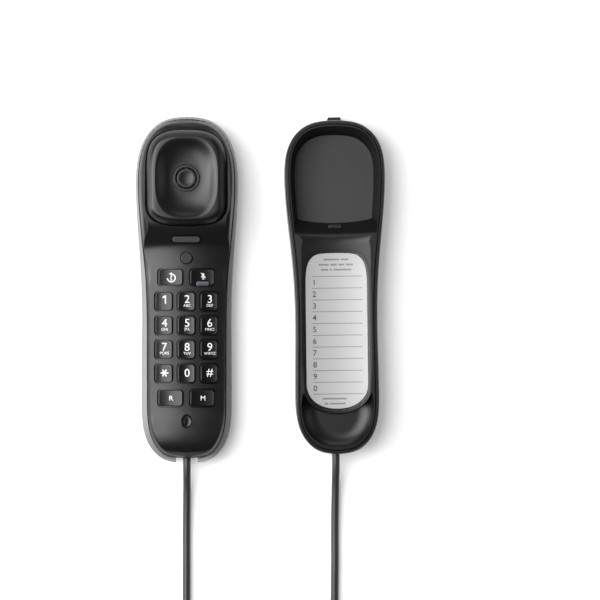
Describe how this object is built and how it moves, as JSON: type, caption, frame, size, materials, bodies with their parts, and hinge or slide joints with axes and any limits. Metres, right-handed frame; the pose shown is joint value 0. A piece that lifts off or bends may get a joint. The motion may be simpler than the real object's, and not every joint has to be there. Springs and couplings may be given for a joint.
{
  "type": "slimline wall phone",
  "caption": "Slimline wall phone: black handset with the keypad in its face and a silver back, lying beside its wall cradle with a number card, joined by a curly cord.",
  "frame": {"origin": "centre of the cradle's back face, on the plane that both halves lie on", "axes": "+Y along the cradle towards its ear end, +Z out of the cradle's back face towards its front, +X across, away from the handset"},
  "size_m": [0.1544, 0.4395, 0.033],
  "materials": {
    "silver_shell": "satin metallic paint",
    "black_shell": "satin",
    "black_soft": "satin",
    "black_textured": "fine texture",
    "key_plastic": "satin, white printed figures",
    "lens": "smoked",
    "socket_plastic": "moulded",
    "clear_plastic": "clear moulded plastic",
    "cord_jacket": "smooth PVC",
    "capsule_metal": "drawn",
    "foam_rubber": "soft",
    "mat_rubber": "silicone",
    "circuit_board": "glass-fibre laminate",
    "spring_steel": "wire",
    "weight_steel": "plain",
    "screw_steel": "zinc plated",
    "card_paper": "white card"
  },
  "bodies": {
    "cradle": {"cradle_housing": "black_shell", "cradle_face": "black_textured", "hanger_nib": "black_shell", "index_card": "card_paper", "card_window": "clear_plastic", "cradle_board": "circuit_board", "ringer_disc": "capsule_metal", "switch_body": "socket_plastic", "line_jack": "socket_plastic", "cradle_jack": "socket_plastic", "cradle_plug": "clear_plastic", "rubber_feet": "foam_rubber", "cradle_screws": "screw_steel", "cradle_cord_tail": "cord_jacket", "curly_cord": "cord_jacket"},
    "handset": {"handset_rear_shell": "silver_shell", "handset_front_shell": "black_shell", "ear_pad": "black_soft", "earpiece_grille": "black_shell", "rest_rib": "black_shell", "mute_lamp_lens": "lens", "handset_jack": "socket_plastic", "handset_plug": "clear_plastic", "handset_cord_tail": "cord_jacket", "receiver_capsule": "capsule_metal", "receiver_gasket": "foam_rubber", "microphone_capsule": "capsule_metal", "microphone_boot": "foam_rubber", "keypad_mat": "mat_rubber", "handset_board": "circuit_board", "hook_switch": "socket_plastic", "hook_spring": "spring_steel", "mute_lamp": "lens", "handset_weight": "weight_steel", "handset_screws": "screw_steel"},
    "hook_plunger": {"hook_plunger": "black_shell"},
    "ringer_switch": {"ringer_switch": "black_shell"},
    "redial_key": {"redial_key": "key_plastic"},
    "mute_key": {"mute_key": "key_plastic"},
    "key_1": {"key_1": "key_plastic"},
    "key_2": {"key_2": "key_plastic"},
    "key_3": {"key_3": "key_plastic"},
    "key_4": {"key_4": "key_plastic"},
    "key_5": {"key_5": "key_plastic"},
    "key_6": {"key_6": "key_plastic"},
    "key_7": {"key_7": "key_plastic"},
    "key_8": {"key_8": "key_plastic"},
    "key_9": {"key_9": "key_plastic"},
    "key_star": {"key_star": "key_plastic"},
    "key_0": {"key_0": "key_plastic"},
    "key_hash": {"key_hash": "key_plastic"},
    "recall_key": {"recall_key": "key_plastic"},
    "memory_key": {"memory_key": "key_plastic"}
  },
  "joints": [
    {"name": "handset_onto_cradle", "type": "hinge", "parent": "cradle", "child": "handset", "pos_m": [-0.0462, 0.00005, 0.025], "axis": [0.0061, 1, 0], "range_deg": [0, 180]},
    {"name": "redial_key_press", "type": "slide", "parent": "handset", "child": "redial_key", "axis": [0, 0, -1], "range_m": [0, 0.001], "stiffness_N_per_m": 300, "springref_m": -0.001},
    {"name": "mute_key_press", "type": "slide", "parent": "handset", "child": "mute_key", "axis": [0, 0, -1], "range_m": [0, 0.001], "stiffness_N_per_m": 300, "springref_m": -0.001},
    {"name": "key_1_press", "type": "slide", "parent": "handset", "child": "key_1", "axis": [0, 0, -1], "range_m": [0, 0.001], "stiffness_N_per_m": 300, "springref_m": -0.001},
    {"name": "key_2_press", "type": "slide", "parent": "handset", "child": "key_2", "axis": [0, 0, -1], "range_m": [0, 0.001], "stiffness_N_per_m": 300, "springref_m": -0.001},
    {"name": "key_3_press", "type": "slide", "parent": "handset", "child": "key_3", "axis": [0, 0, -1], "range_m": [0, 0.001], "stiffness_N_per_m": 300, "springref_m": -0.001},
    {"name": "key_4_press", "type": "slide", "parent": "handset", "child": "key_4", "axis": [0, 0, -1], "range_m": [0, 0.001], "stiffness_N_per_m": 300, "springref_m": -0.001},
    {"name": "key_5_press", "type": "slide", "parent": "handset", "child": "key_5", "axis": [0, 0, -1], "range_m": [0, 0.001], "stiffness_N_per_m": 300, "springref_m": -0.001},
    {"name": "key_6_press", "type": "slide", "parent": "handset", "child": "key_6", "axis": [0, 0, -1], "range_m": [0, 0.001], "stiffness_N_per_m": 300, "springref_m": -0.001},
    {"name": "key_7_press", "type": "slide", "parent": "handset", "child": "key_7", "axis": [0, 0, -1], "range_m": [0, 0.001], "stiffness_N_per_m": 300, "springref_m": -0.001},
    {"name": "key_8_press", "type": "slide", "parent": "handset", "child": "key_8", "axis": [0, 0, -1], "range_m": [0, 0.001], "stiffness_N_per_m": 300, "springref_m": -0.001},
    {"name": "key_9_press", "type": "slide", "parent": "handset", "child": "key_9", "axis": [0, 0, -1], "range_m": [0, 0.001], "stiffness_N_per_m": 300, "springref_m": -0.001},
    {"name": "key_star_press", "type": "slide", "parent": "handset", "child": "key_star", "axis": [0, 0, -1], "range_m": [0, 0.001], "stiffness_N_per_m": 300, "springref_m": -0.001},
    {"name": "key_0_press", "type": "slide", "parent": "handset", "child": "key_0", "axis": [0, 0, -1], "range_m": [0, 0.001], "stiffness_N_per_m": 300, "springref_m": -0.001},
    {"name": "key_hash_press", "type": "slide", "parent": "handset", "child": "key_hash", "axis": [0, 0, -1], "range_m": [0, 0.001], "stiffness_N_per_m": 300, "springref_m": -0.001},
    {"name": "recall_key_press", "type": "slide", "parent": "handset", "child": "recall_key", "axis": [0, 0, -1], "range_m": [0, 0.001], "stiffness_N_per_m": 300, "springref_m": -0.001},
    {"name": "memory_key_press", "type": "slide", "parent": "handset", "child": "memory_key", "axis": [0, 0, -1], "range_m": [0, 0.001], "stiffness_N_per_m": 300, "springref_m": -0.001},
    {"name": "hook_plunger_press", "type": "slide", "parent": "handset", "child": "hook_plunger", "axis": [0, 0, -1], "range_m": [0, 0.002], "stiffness_N_per_m": 120, "springref_m": -0.0015, "deforming": ["hook_spring"]},
    {"name": "ringer_switch_slide", "type": "slide", "parent": "cradle", "child": "ringer_switch", "axis": [0, 1, 0], "range_m": [-0.002, 0.002]}
  ]
}
